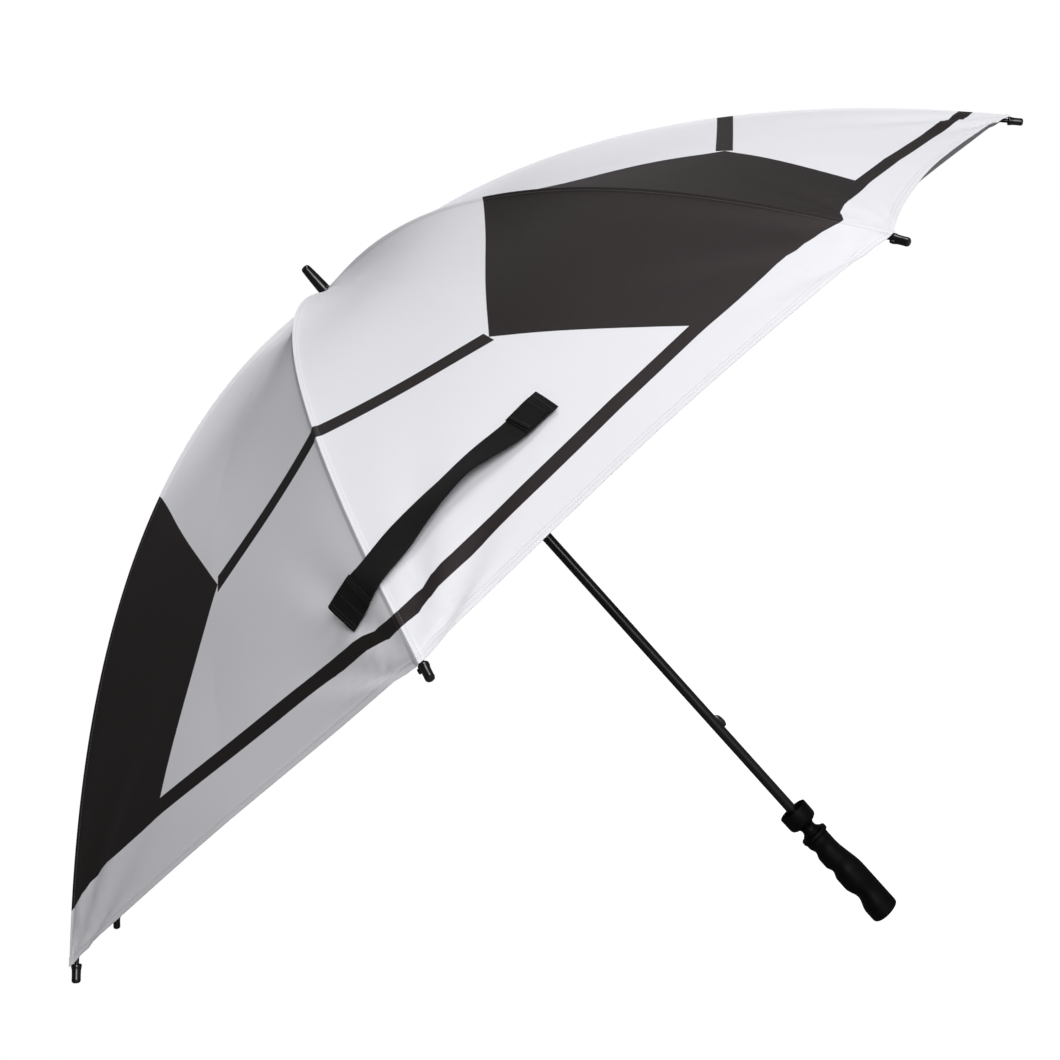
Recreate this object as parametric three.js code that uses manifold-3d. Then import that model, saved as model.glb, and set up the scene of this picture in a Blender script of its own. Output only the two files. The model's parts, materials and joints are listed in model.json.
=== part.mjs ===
// Golf umbrella, shown open: shaft along +Z, canopy up, origin on the end face of the grip.
import * as THREE from 'three';
import { mergeVertices } from 'three/addons/utils/BufferGeometryUtils.js';
import Module from 'manifold-3d';

const wasm = await Module();
wasm.setup();

// ---- driving dimensions, millimetres ----
const ribCount = 8;
const canopyRadius = 680;
const canopyDepth = 357;
const crownHeight = 935;
const canopyCurve = 2.08;
const clothThickness = 1.2;
const clothGap = 0.4;
const ribGap = 1.4;
const seamGap = 0.25;
const panelSag = 7;
const hemScallop = 6;

const shaftRadius = 6;
const shaftWall = 1;
const shaftFoot = 22;
const fitClearance = 0.3;
const slideClearance = 0.35;

const ribRadius = 2.3;
const ribJointRadius = 300;
const hingeRadius = 11;
const eyeRadius = 2.2;
const eyeWidth = 2.4;
const earThickness = 1.3;
const clipRise = 0.2;
const stretcherRadius = 1.8;
const stretcherDrop = 6.5;
const stretcherLength = 309;
const closedJointRadius = 17;

const notchRadius = 15;
const notchHeight = 12;
const washerRadius = 11;
const washerThickness = 1.2;
const ferruleLength = 36.5;
const ferruleBaseRadius = 7.4;
const ferruleTipRadius = 5.3;
const ferruleSocketDepth = 20;

const tipLength = 16.5;
const tipRadius = 4.6;
const tipSocketDepth = 12;

const runnerRadius = 9.6;
const runnerLength = 72;
const crownRingRadius = 16;
const crownRingHeight = 11;
const runnerHingeRadius = 12;
const catchWindowDrop = 40;
const runnerGripRadius = 12.5;
const runnerGripHeight = 9;

const catchAzimuth = Math.PI / ribCount;
const catchWidth = 2.4;
const catchLength = 17;
const catchProud = 4.8;

const cupRadius = 17.25;
const cupWall = 1.7;
const cupMouthHeight = 157.8;
const cupDepth = 18;
const cupNeckRadius = 8.4;
const cupFootHeight = 123.4;
const cupFootRadius = 12;

const gripHeight = 123;
const gripFlangeRadius = 16.2;
const gripFlangeHeight = 5.5;
const gripFrontRadius = 15;
const gripBackRadius = 19.2;
const gripNeckRadius = 13.4;
const gripSideRadius = 15.5;

const strapWidth = 30;
const strapThickness = 1.6;
const strapLift = 3.5;
const strapBillow = 6;
const strapHomeRib = 6;
const patchLength = 34;
const patchThickness = 1;

// ---- derived places ----
const ribStep = 2 * Math.PI / ribCount;
const ribDepth = clothThickness + ribGap + ribRadius;
const boreRadius = shaftRadius + slideClearance;

// ---- materials ----
const finish = (colour, roughness, metalness) =>
  new THREE.MeshStandardMaterial({ color: colour, roughness, metalness });
const blackMetal = finish(0x131314, 0.3, 0.7);
const blackRod = finish(0x17171a, 0.45, 0.1);
const glossPlastic = finish(0x0c0c0d, 0.22, 0.0);
const mattePlastic = finish(0x18181a, 0.6, 0.0);
const gripRubber = finish(0x141415, 0.75, 0.0);
const paleCloth = finish(0xe2e3e6, 0.8, 0.0);
const steel = finish(0x9a9ca0, 0.3, 1.0);
const webbing = finish(0x101011, 0.85, 0.0);
const hookFabric = finish(0x1a1a1c, 0.95, 0.0);

// ---- solids ----
function solid(geometry) {
  const plain = geometry.clone();
  plain.deleteAttribute('normal');
  plain.deleteAttribute('uv');
  const merged = mergeVertices(plain, 1e-4);
  const index = merged.index.array;
  const triangles = [];
  for (let i = 0; i < index.length; i += 3) {
    const [a, b, c] = [index[i], index[i + 1], index[i + 2]];
    if (a !== b && b !== c && c !== a) triangles.push(a, b, c);
  }
  return new wasm.Manifold(new wasm.Mesh({
    numProp: 3,
    vertProperties: new Float32Array(merged.attributes.position.array),
    triVerts: new Uint32Array(triangles),
  }));
}

function shell(manifold) {
  const mesh = manifold.getMesh();
  const geometry = new THREE.BufferGeometry();
  geometry.setAttribute('position', new THREE.BufferAttribute(new Float32Array(mesh.vertProperties), 3));
  geometry.setIndex(new THREE.BufferAttribute(new Uint32Array(mesh.triVerts), 1));
  geometry.computeVertexNormals();
  return geometry;
}

const join = (first, ...rest) => shell(rest.reduce((sum, part) => sum.add(solid(part)), solid(first)));
const cut = (first, ...rest) => shell(rest.reduce((sum, part) => sum.subtract(solid(part)), solid(first)));

function turned(points, segments) {
  const profile = points.map(([r, z]) => new THREE.Vector2(r, z));
  const geometry = new THREE.LatheGeometry(profile, segments);
  geometry.rotateX(Math.PI / 2);
  return geometry;
}

function block(x0, x1, y0, y1, z0, z1) {
  const geometry = new THREE.BoxGeometry(x1 - x0, y1 - y0, z1 - z0);
  geometry.translate((x0 + x1) / 2, (y0 + y1) / 2, (z0 + z1) / 2);
  return geometry;
}

function disc(x, z, radius, y0, y1, segments = 12) {
  const geometry = new THREE.CylinderGeometry(radius, radius, y1 - y0, segments);
  geometry.translate(x, (y0 + y1) / 2, z);
  return geometry;
}

function rod(points, radius, sides, steps) {
  const section = new THREE.Shape();
  section.absarc(0, 0, radius, 0, 2 * Math.PI);
  return new THREE.ExtrudeGeometry(section, {
    steps,
    curveSegments: sides,
    extrudePath: new THREE.CatmullRomCurve3(points),
    bevelEnabled: false,
  });
}

const group = new THREE.Group();

function place(name, geometry, material, azimuth = 0) {
  const mesh = new THREE.Mesh(geometry, material.clone());
  mesh.name = name;
  mesh.rotation.z = azimuth;
  group.add(mesh);
  return mesh;
}

// ---- canopy surface ----
const clothHeight = (r) => crownHeight - canopyDepth * (r / canopyRadius) ** canopyCurve;
const clothSlope = (r) => canopyDepth * canopyCurve / canopyRadius * (r / canopyRadius) ** (canopyCurve - 1);

// A point of the cloth beside the rib on the X axis: share 0 is the rib, 0.5 the middle of the next panel.
function clothPoint(r, share) {
  const side = Math.sign(share);
  const part = Math.abs(share);
  const z = clothHeight(r);
  const onRib = new THREE.Vector3(r, 0, z);
  const onNext = new THREE.Vector3(r * Math.cos(ribStep), side * r * Math.sin(ribStep), z);
  const point = onRib.lerp(onNext, part);
  const sag = panelSag * 4 * part * (1 - part) * Math.sin(Math.PI * Math.min(r / canopyRadius, 1));
  const middle = side * ribStep / 2;
  const slope = clothSlope(r);
  const inward = new THREE.Vector3(-slope * Math.cos(middle), -slope * Math.sin(middle), -1).normalize();
  return point.addScaledVector(inward, sag);
}

function clothNormal(r, share) {
  const step = 0.5;
  const along = clothPoint(r + step, share).sub(clothPoint(r - step, share));
  const low = Math.max(share - 0.02, -0.5);
  const high = Math.min(share + 0.02, 0.5);
  const across = clothPoint(r, high).sub(clothPoint(r, low));
  return along.cross(across).normalize();
}

// A closed sheet of even thickness over a grid of points, each given with its outward normal.
function sheet(columns, rows, pointAt, thickness) {
  const geometry = new THREE.BoxGeometry(1, 1, 1, columns, rows, 1);
  const position = geometry.attributes.position;
  for (let i = 0; i < position.count; i += 1) {
    const { point, normal } = pointAt(position.getX(i) + 0.5, position.getY(i) + 0.5);
    const depth = position.getZ(i) > 0 ? 0 : thickness;
    const place = point.clone().addScaledVector(normal, -depth);
    position.setXYZ(i, place.x, place.y, place.z);
  }
  return geometry;
}

function gore(columns, rows, startRadius, endRadius, scallop) {
  const pointAt = (across, along) => {
    const wide = 2 * across - 1;
    const end = endRadius - scallop * (1 - (1 - Math.abs(wide)) ** 2) - seamGap;
    const r = startRadius + (end - startRadius) * along;
    const halfPanel = r * Math.sin(ribStep / 2);
    const share = -0.5 * wide * (1 - seamGap / halfPanel);
    return { point: clothPoint(r, share), normal: clothNormal(r, share) };
  };
  return sheet(columns, rows, pointAt, clothThickness);
}

const canopyHole = shaftRadius + 2;
const goreInner = gore(4, 7, canopyHole, ribJointRadius, 0);
const goreOuter = gore(6, 9, ribJointRadius + seamGap, canopyRadius, hemScallop);

// ---- rib linkage, worked out in the plane of the rib on the X axis ----
function ribPoint(r, depth = ribDepth) {
  const slope = clothSlope(r);
  const scale = depth / Math.hypot(1, slope);
  return new THREE.Vector3(r - slope * scale, 0, clothHeight(r) - scale);
}

const hinge = new THREE.Vector3(hingeRadius, 0, crownHeight - clothThickness - clothGap - eyeRadius - 1.2);
const joint = ribPoint(ribJointRadius);
const ribAngle = Math.atan2(hinge.z - joint.z, joint.x - hinge.x);
const ribInnerLength = Math.hypot(joint.x - hinge.x, joint.z - hinge.z);
const stretcherPin = new THREE.Vector3(
  joint.x - stretcherDrop * Math.sin(ribAngle), 0, joint.z - stretcherDrop * Math.cos(ribAngle));
const openRunnerHeight = stretcherPin.z
  - Math.sqrt(stretcherLength ** 2 - (stretcherPin.x - runnerHingeRadius) ** 2);
const closedJointHeight = hinge.z - Math.sqrt(ribInnerLength ** 2 - (closedJointRadius - hingeRadius) ** 2);
const closedRunnerHeight = closedJointHeight - stretcherLength;
const bottomCatchHeight = closedRunnerHeight - catchWindowDrop;
const topCatchHeight = openRunnerHeight - runnerLength - catchLength / 2 - 2;

// ---- shaft, with a slot for each catch ----
const shaftTop = crownHeight + clothGap + washerThickness + clothGap + ferruleSocketDepth - 1;
function catchSlot(height) {
  const slack = 0.35;
  const slot = block(0, shaftRadius + 3, -catchWidth / 2 - slack, catchWidth / 2 + slack,
    height - catchLength / 2 - slack, height + catchLength / 2 + slack);
  return slot.rotateZ(catchAzimuth);
}
const tube = turned([
  [shaftRadius - shaftWall, shaftFoot], [shaftRadius, shaftFoot], [shaftRadius, shaftTop],
  [shaftRadius - shaftWall, shaftTop], [shaftRadius - shaftWall, shaftFoot],
], 32);
place('shaft', cut(tube, catchSlot(bottomCatchHeight), catchSlot(topCatchHeight)), blackMetal);

// ---- catches: spring-loaded tongues that stand proud of the shaft ----
function catchTongue(rampDown) {
  const outer = shaftRadius + catchProud;
  const half = catchLength / 2;
  const shape = new THREE.Shape();
  shape.moveTo(0, -half);
  shape.lineTo(shaftRadius, -half);
  shape.bezierCurveTo(outer, -half, outer, -half * 0.5, outer, rampDown * half * 0.25);
  shape.bezierCurveTo(outer, half * 0.6, outer - 1, half, shaftRadius, half);
  shape.lineTo(0, half);
  shape.closePath();
  const geometry = new THREE.ExtrudeGeometry(shape, { depth: catchWidth, curveSegments: 6, bevelEnabled: false });
  geometry.translate(0, 0, -catchWidth / 2);
  return geometry.rotateX(Math.PI / 2);
}
const bottomCatch = catchTongue(-1).translate(0, 0, bottomCatchHeight);
const topCatch = catchTongue(1).translate(0, 0, topCatchHeight);
place('bottom_catch', bottomCatch, glossPlastic, catchAzimuth);
place('top_catch', topCatch, steel, catchAzimuth);

// ---- notch: the slotted hub that the ribs hinge in ----
const notchSag = panelSag * Math.sin(Math.PI * notchRadius / canopyRadius);
const notchTop = clothHeight(notchRadius) - notchSag - clothThickness - clothGap;
const hubBore = shaftRadius + fitClearance;
function spokeSlots(width, inner, outer, low, high) {
  const slots = [];
  for (let k = 0; k < ribCount; k += 1) {
    const slot = block(inner, outer, -width / 2, width / 2, low, high);
    slots.push(slot.rotateZ(k * ribStep));
  }
  return slots;
}
const notchBlank = turned([
  [hubBore, notchTop - notchHeight], [notchRadius - 1, notchTop - notchHeight],
  [notchRadius, notchTop - notchHeight + 1], [notchRadius, notchTop - 1], [notchRadius - 1, notchTop],
  [hubBore, notchTop], [hubBore, notchTop - notchHeight],
], 32);
const notchSlots = spokeSlots(eyeWidth + 0.8, hingeRadius - eyeRadius - 0.5, notchRadius + 2,
  notchTop - notchHeight - 1, notchTop + 1);
place('notch', cut(notchBlank, ...notchSlots), mattePlastic);

// ---- washer and ferrule over the canopy ----
const washerLow = crownHeight + clothGap;
place('crown_washer', turned([
  [hubBore, washerLow], [washerRadius, washerLow], [washerRadius, washerLow + washerThickness * 0.4],
  [washerRadius - 0.8, washerLow + washerThickness], [hubBore, washerLow + washerThickness], [hubBore, washerLow],
], 32), glossPlastic);

const ferruleLow = washerLow + washerThickness + clothGap;
const ferruleTop = ferruleLow + ferruleLength;
const tipRound = 4;
const ferruleProfile = [[hubBore, ferruleLow], [ferruleBaseRadius, ferruleLow]];
ferruleProfile.push([ferruleBaseRadius - 0.4, ferruleLow + 6]);
for (let i = 0; i <= 5; i += 1) {
  const turn = i / 5 * Math.PI / 2;
  ferruleProfile.push([
    ferruleTipRadius - tipRound * (1 - Math.cos(turn)) * 0.75,
    ferruleTop - tipRound * (1 - Math.sin(turn)),
  ]);
}
ferruleProfile.push([0, ferruleTop], [0, ferruleLow + ferruleSocketDepth]);
ferruleProfile.push([hubBore, ferruleLow + ferruleSocketDepth], [hubBore, ferruleLow]);
place('ferrule', turned(ferruleProfile, 28), glossPlastic);

// ---- ribs, in two lengths that hinge at the joint clip ----
const ribEyeGap = 1.3;
const innerDirection = new THREE.Vector3(joint.x - hinge.x, 0, joint.z - hinge.z).normalize();
const tongueLength = notchHeight + 1.5;
const ribInnerPath = [hinge.clone().add(new THREE.Vector3(tongueLength - 1, 0, 0))];
for (const part of [0.2, 0.4, 0.6, 0.8]) ribInnerPath.push(ribPoint(part * ribJointRadius));
ribInnerPath.push(joint.clone().addScaledVector(innerDirection, -6));
const earShape = new THREE.Shape();
const earRadius = ribRadius + clipRise;
const earRoot = 6;
earShape.moveTo(-earRoot, -earRadius);
earShape.lineTo(-earRadius, -earRadius);
earShape.absarc(0, -stretcherDrop, earRadius, Math.PI, 2 * Math.PI);
earShape.absarc(0, 0, earRadius, 0, Math.PI / 2);
earShape.lineTo(-earRoot, earRadius);
earShape.closePath();
function ear(side) {
  const geometry = new THREE.ExtrudeGeometry(earShape, {
    depth: earThickness, curveSegments: 4, bevelEnabled: false,
  });
  geometry.rotateX(Math.PI / 2);
  const low = side > 0 ? eyeWidth / 2 + fitClearance : -eyeWidth / 2 - fitClearance - earThickness;
  geometry.translate(0, low + earThickness, 0);
  geometry.rotateY(ribAngle);
  return geometry.translate(joint.x, 0, joint.z);
}
const clipHalf = eyeWidth / 2 + fitClearance + earThickness;
const clip = block(-11, -eyeRadius - 0.8, -clipHalf, clipHalf, -earRadius, earRadius - 0.1);
clip.rotateY(ribAngle).translate(joint.x, 0, joint.z);
const hingeTongue = block(hinge.x, hinge.x + tongueLength + 2, -eyeWidth / 2, eyeWidth / 2,
  hinge.z - eyeRadius + 0.2, hinge.z + eyeRadius - 0.2);
const ribInner = join(
  rod(ribInnerPath, ribRadius - 0.2, 6, 9),
  disc(hinge.x, hinge.z, eyeRadius, -eyeWidth / 2, eyeWidth / 2),
  hingeTongue, clip, ear(1), ear(-1));

const outerAngle = Math.atan(clothSlope(ribJointRadius));
const outerDirection = new THREE.Vector3(Math.cos(outerAngle), 0, -Math.sin(outerAngle));
const ribOuterPath = [joint.clone().addScaledVector(outerDirection, eyeRadius + ribEyeGap)];
for (const part of [0.2, 0.4, 0.6, 0.8]) {
  ribOuterPath.push(ribPoint(ribJointRadius + part * (canopyRadius - ribJointRadius)));
}
const cornerPoint = ribPoint(canopyRadius);
const rimAngle = Math.atan(clothSlope(canopyRadius));
const rimDirection = new THREE.Vector3(Math.cos(rimAngle), 0, -Math.sin(rimAngle));
const tipStart = cornerPoint.clone().addScaledVector(rimDirection, seamGap);
ribOuterPath.push(tipStart.clone().addScaledVector(rimDirection, tipSocketDepth - 1));
const outerTongue = block(0, eyeRadius + ribEyeGap + 2, -eyeWidth / 2, eyeWidth / 2,
  -eyeRadius + 0.2, eyeRadius - 0.2);
outerTongue.rotateY(outerAngle).translate(joint.x, 0, joint.z);
const ribOuter = join(
  rod(ribOuterPath, ribRadius - 0.2, 6, 12),
  disc(joint.x, joint.z, eyeRadius, -eyeWidth / 2, eyeWidth / 2),
  outerTongue);

// ---- tip cap: the moulded end that the cloth's corner is sewn to ----
const tipBore = ribRadius + fitClearance - 0.1;
const tipProfile = [
  [tipBore, 0], [tipRadius - 0.2, 0], [tipRadius, 2], [tipRadius - 0.6, 5.5], [tipRadius - 0.5, tipLength - 4],
  [tipRadius - 0.8, tipLength - 1.2], [tipRadius - 2, tipLength], [0, tipLength], [0, tipSocketDepth],
  [tipBore, tipSocketDepth], [tipBore, 0],
];
const sewingLug = block(-1.6, 1.6, -tipRadius - 1.8, -tipRadius + 0.8, 0.6, 6);
const tipCap = join(turned(tipProfile, 14), sewingLug);
tipCap.rotateY(Math.PI / 2 + rimAngle).translate(tipStart.x, 0, tipStart.z);

// ---- stretcher: hinged under the rib joint, its foot sits in the runner's crown ----
const foot = new THREE.Vector3(runnerHingeRadius, 0, openRunnerHeight);
const stretcherDirection = foot.clone().sub(stretcherPin).normalize();
const stretcherPath = [
  stretcherPin.clone().addScaledVector(stretcherDirection, 4),
  stretcherPin.clone().lerp(foot, 0.5),
  foot.clone().addScaledVector(stretcherDirection, -6),
];
const stretcherAngle = Math.atan2(-stretcherDirection.z, stretcherDirection.x);
function stretcherTongue(from, to) {
  const height = stretcherRadius - 0.1;
  const geometry = block(from, to, -eyeWidth / 2, eyeWidth / 2, -height, height);
  return geometry.rotateY(stretcherAngle).translate(stretcherPin.x, 0, stretcherPin.z);
}
const stretcher = join(
  rod(stretcherPath, stretcherRadius, 6, 1),
  disc(stretcherPin.x, stretcherPin.z, eyeRadius - 0.2, -eyeWidth / 2, eyeWidth / 2),
  stretcherTongue(0, 6),
  stretcherTongue(stretcherLength - 9, stretcherLength),
  disc(foot.x, foot.z, stretcherRadius, -eyeWidth / 2, eyeWidth / 2));

for (let k = 0; k < ribCount; k += 1) {
  const azimuth = k * ribStep;
  place(`rib_inner_${k}`, ribInner, blackRod, azimuth);
  place(`rib_outer_${k}`, ribOuter, blackRod, azimuth);
  place(`stretcher_${k}`, stretcher, blackRod, azimuth);
  place(`tip_cap_${k}`, tipCap, glossPlastic, azimuth);
  place(`gore_inner_${k}`, goreInner, paleCloth, azimuth);
  place(`gore_outer_${k}`, goreOuter, paleCloth, azimuth);
}

// ---- runner: slides on the shaft, with a keyway that lets the catches pass ----
const crownTop = openRunnerHeight + crownRingHeight * 0.4;
const crownLow = crownTop - crownRingHeight;
const runnerLow = openRunnerHeight - runnerLength;
const runnerBlank = turned([
  [boreRadius, runnerLow], [runnerGripRadius - 1.5, runnerLow], [runnerGripRadius, runnerLow + 1.5],
  [runnerGripRadius, runnerLow + runnerGripHeight - 2], [runnerRadius, runnerLow + runnerGripHeight + 1],
  [runnerRadius, crownLow - 4], [crownRingRadius, crownLow], [crownRingRadius, crownTop - 1],
  [crownRingRadius - 1, crownTop], [boreRadius, crownTop], [boreRadius, runnerLow],
], 32);
const keywayHalf = catchWidth / 2 + 0.5;
const keyway = block(0, runnerGripRadius + 6, -keywayHalf, keywayHalf, runnerLow - 2, crownTop + 2);
keyway.rotateZ(catchAzimuth);
const missingTooth = block(runnerRadius - 0.3, crownRingRadius + 3, -4.5, 4.5, crownLow - 6, crownTop + 2);
missingTooth.rotateZ(catchAzimuth);
const runnerSlots = spokeSlots(2 * stretcherRadius + 0.8, runnerHingeRadius - stretcherRadius - 0.6,
  crownRingRadius + 3, crownLow - 6, crownTop + 2);
place('runner', cut(runnerBlank, ...runnerSlots, keyway, missingTooth), mattePlastic);

// ---- handle cup: hollow collar above the grip ----
const cupFloor = cupMouthHeight - cupDepth;
place('handle_cup', turned([
  [hubBore, cupFootHeight], [cupFootRadius, cupFootHeight], [cupNeckRadius + 1, cupFootHeight + 3.4],
  [cupNeckRadius, cupFootHeight + 7], [cupNeckRadius + 1.6, cupFloor - 4.5], [cupRadius - 1, cupFloor - 1.5],
  [cupRadius, cupFloor + 1.5], [cupRadius + 0.2, cupMouthHeight - 0.8], [cupRadius - 0.6, cupMouthHeight],
  [cupRadius - cupWall, cupMouthHeight - 1], [cupRadius - cupWall - 0.6, cupFloor + 3], [hubBore + 2, cupFloor],
  [hubBore, cupFloor], [hubBore, cupFootHeight],
], 36), mattePlastic);

// ---- grip: finger grooves face away from the catches ----
const grooves = [
  { height: 104, depth: 2.6, reach: 9 },
  { height: 75, depth: 3, reach: 10 },
  { height: 34, depth: 4.9, reach: 18 },
];
const swell = (low, high, value) => {
  const t = Math.min(Math.max((value - low) / (high - low), 0), 1);
  return t * t * (3 - 2 * t);
};
function gripFront(z) {
  return grooves.reduce((radius, { height, depth, reach }) => {
    const away = Math.abs(z - height) / reach;
    return away < 1 ? radius - depth * (0.5 + 0.5 * Math.cos(Math.PI * away)) : radius;
  }, gripFrontRadius);
}
const gripBack = (z) => gripBackRadius - (gripBackRadius - gripNeckRadius) * swell(58, 102, z);
const gripSide = (z) => gripSideRadius - 1.8 * swell(55, 105, z) - 0.25 * (gripFrontRadius - gripFront(z));
const gripShoulder = gripHeight - gripFlangeHeight;
const gripRowStep = 5;
const buttRound = 1.2;
const gripBlankRadius = 15;
const gripProfile = [[0, 0], [gripBlankRadius - 3, 0]];
for (let z = buttRound; z < gripShoulder - gripRowStep; z += gripRowStep) gripProfile.push([gripBlankRadius, z]);
gripProfile.push([gripBlankRadius, gripShoulder - 1.5], [gripFlangeRadius, gripShoulder]);
gripProfile.push([gripFlangeRadius, gripHeight - 0.8], [gripFlangeRadius - 0.8, gripHeight]);
gripProfile.push([hubBore, gripHeight], [hubBore, shaftFoot - 2], [0, shaftFoot - 2]);
const gripBlank = turned(gripProfile, 30);
const gripPoints = gripBlank.attributes.position;
for (let i = 0; i < gripPoints.count; i += 1) {
  const [x, y, z] = [gripPoints.getX(i), gripPoints.getY(i), gripPoints.getZ(i)];
  const radius = Math.hypot(x, y);
  if (radius > hubBore + 2 && z < gripShoulder - 0.1) {
    const toBack = x / radius;
    const toSide = y / radius;
    const reach = toBack > 0 ? gripBack(z) : gripFront(z);
    const wanted = 1 / Math.hypot(toBack / reach, toSide / gripSide(z));
    const scale = wanted / gripBlankRadius;
    gripPoints.setXYZ(i, x * scale, y * scale, z);
  }
}
place('grip', shell(solid(gripBlank)), gripRubber, catchAzimuth);

// ---- closing strap: sewn beside its rib, lying across the next panel, with a hook patch at its free end ----
// Each stop gives the share of the panel from the strap's rib, the radius where the strap's middle lies and
// how far, as a share of strapBillow, the strap stands off the cloth beyond its least lift.
const strapStops = [
  { share: -0.1, radius: 623, billow: 0 }, { share: 0, radius: 611.6, billow: 0.25 },
  { share: 0.1, radius: 601.7, billow: 0.65 }, { share: 0.19, radius: 597.6, billow: 1 },
  { share: 0.27, radius: 596.8, billow: 0.95 }, { share: 0.345, radius: 598.2, billow: 0.5 },
  { share: 0.43, radius: 596.2, billow: 0.3 },
];
const strapLine = new THREE.CatmullRomCurve3(strapStops.map(({ share, radius, billow }) => (
  clothPoint(radius, share).addScaledVector(clothNormal(radius, share + 0.001), strapLift + billow * strapBillow))));
const strapMiddle = strapStops[3];
const panelNormal = clothNormal(strapMiddle.radius, strapMiddle.share);
function strapPoint(across, along, lift) {
  const middle = strapLine.getPointAt(along);
  const heading = strapLine.getTangentAt(along);
  const sideways = panelNormal.clone().cross(heading).normalize();
  const normal = heading.clone().cross(sideways).normalize();
  const point = middle.addScaledVector(sideways, (across - 0.5) * -strapWidth).addScaledVector(normal, lift);
  return { point, normal };
}
const strapAzimuth = strapHomeRib * ribStep;
place('closing_strap', sheet(2, 14, (across, along) => strapPoint(across, along, strapThickness), strapThickness),
  webbing, strapAzimuth);
const patchInset = 2.4;
const strapLength = strapLine.getLength();
const patchEnd = 1 - patchInset / strapLength;
const patchStart = patchEnd - patchLength / strapLength;
const patchEdge = patchInset / strapWidth;
const patchLift = strapThickness + fitClearance + patchThickness;
const patchPoint = (across, along) => strapPoint(
  patchEdge + (1 - 2 * patchEdge) * across, patchStart + (patchEnd - patchStart) * along, patchLift);
place('strap_hook_patch', sheet(1, 2, patchPoint, patchThickness), hookFabric, strapAzimuth);

export default group;
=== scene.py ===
import json
import math

import bmesh
import bpy
import numpy as np
from mathutils import Matrix, Vector


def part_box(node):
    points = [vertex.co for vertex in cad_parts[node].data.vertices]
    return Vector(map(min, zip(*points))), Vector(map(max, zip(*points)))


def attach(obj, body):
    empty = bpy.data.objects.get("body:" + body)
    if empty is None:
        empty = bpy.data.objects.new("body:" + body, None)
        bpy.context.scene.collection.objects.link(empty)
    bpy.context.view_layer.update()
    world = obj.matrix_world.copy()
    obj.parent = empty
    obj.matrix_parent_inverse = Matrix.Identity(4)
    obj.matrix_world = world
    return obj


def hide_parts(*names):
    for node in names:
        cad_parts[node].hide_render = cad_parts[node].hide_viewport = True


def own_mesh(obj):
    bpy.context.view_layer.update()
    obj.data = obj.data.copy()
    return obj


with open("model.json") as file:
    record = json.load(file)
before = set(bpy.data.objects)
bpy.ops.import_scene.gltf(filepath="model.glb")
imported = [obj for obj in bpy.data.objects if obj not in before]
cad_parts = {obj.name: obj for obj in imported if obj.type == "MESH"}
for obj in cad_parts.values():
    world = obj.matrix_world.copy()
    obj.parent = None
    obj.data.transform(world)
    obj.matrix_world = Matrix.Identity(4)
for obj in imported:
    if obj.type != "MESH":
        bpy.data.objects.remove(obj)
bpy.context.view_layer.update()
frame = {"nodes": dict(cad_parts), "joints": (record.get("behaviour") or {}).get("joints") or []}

# ---- camera and studio ----
# A long lens held level with the canopy's rim and rolled over, so that the shaft runs down to the right.
# The room is white card all round, with one broad lamp overhead and a softer one beside the camera.
camera_place = Vector((0.3995, -2.0014, 0.6123))
camera_heading = math.radians(6.97)
camera_dip = math.radians(-1.5)
camera_roll = math.radians(-41.84)
camera_lens = 61.9
camera_shift = (-0.1188, -0.0732)

camera_data = bpy.data.cameras.new("camera")
camera_data.lens = camera_lens
camera_data.sensor_width = 36.0
camera_data.shift_x, camera_data.shift_y = camera_shift
camera_data.clip_end = 60.0
camera = bpy.data.objects.new("camera", camera_data)
camera.matrix_world = (
    Matrix.Translation(camera_place)
    @ Matrix.Rotation(camera_heading, 4, "Z")
    @ Matrix.Rotation(math.pi / 2 + camera_dip, 4, "X")
    @ Matrix.Rotation(camera_roll, 4, "Z")
)
bpy.context.scene.collection.objects.link(camera)
bpy.context.scene.camera = camera

studio_centre = Vector((0.0, 0.0, 0.6))
card_white = (1.0, 1.0, 1.0, 1.0)
ambient = 0.13


def lamp(name, direction, distance, size, power):
    light = bpy.data.lights.new(name, "AREA")
    light.shape = "DISK"
    light.size = size
    light.energy = power
    direction = Vector(direction)
    place = studio_centre + direction.normalized() * distance
    holder = bpy.data.objects.new(name, light)
    holder.matrix_world = Matrix.Translation(place) @ direction.to_track_quat("Z", "Y").to_matrix().to_4x4()
    bpy.context.scene.collection.objects.link(holder)


lamp("overhead_lamp", (0.70, -0.28, 0.72), 3.2, 1.6, 36)
lamp("camera_side_lamp", (0.58, -0.90, 0.20), 3.4, 2.0, 67)
lamp("far_side_lamp", (0.35, 0.50, 0.80), 3.2, 1.8, 8)

world = bpy.data.worlds.new("white_room")
bpy.context.scene.world = world
world.use_nodes = True
room = world.node_tree
background = room.nodes["Background"]
background.inputs["Color"].default_value = card_white
seen = room.nodes.new("ShaderNodeLightPath")
strength = room.nodes.new("ShaderNodeMapRange")
strength.inputs["To Min"].default_value = ambient
strength.inputs["To Max"].default_value = 1.0
room.links.new(seen.outputs["Is Camera Ray"], strength.inputs["Value"])
room.links.new(strength.outputs["Result"], background.inputs["Strength"])
bpy.context.scene.view_settings.view_transform = "Standard"

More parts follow.
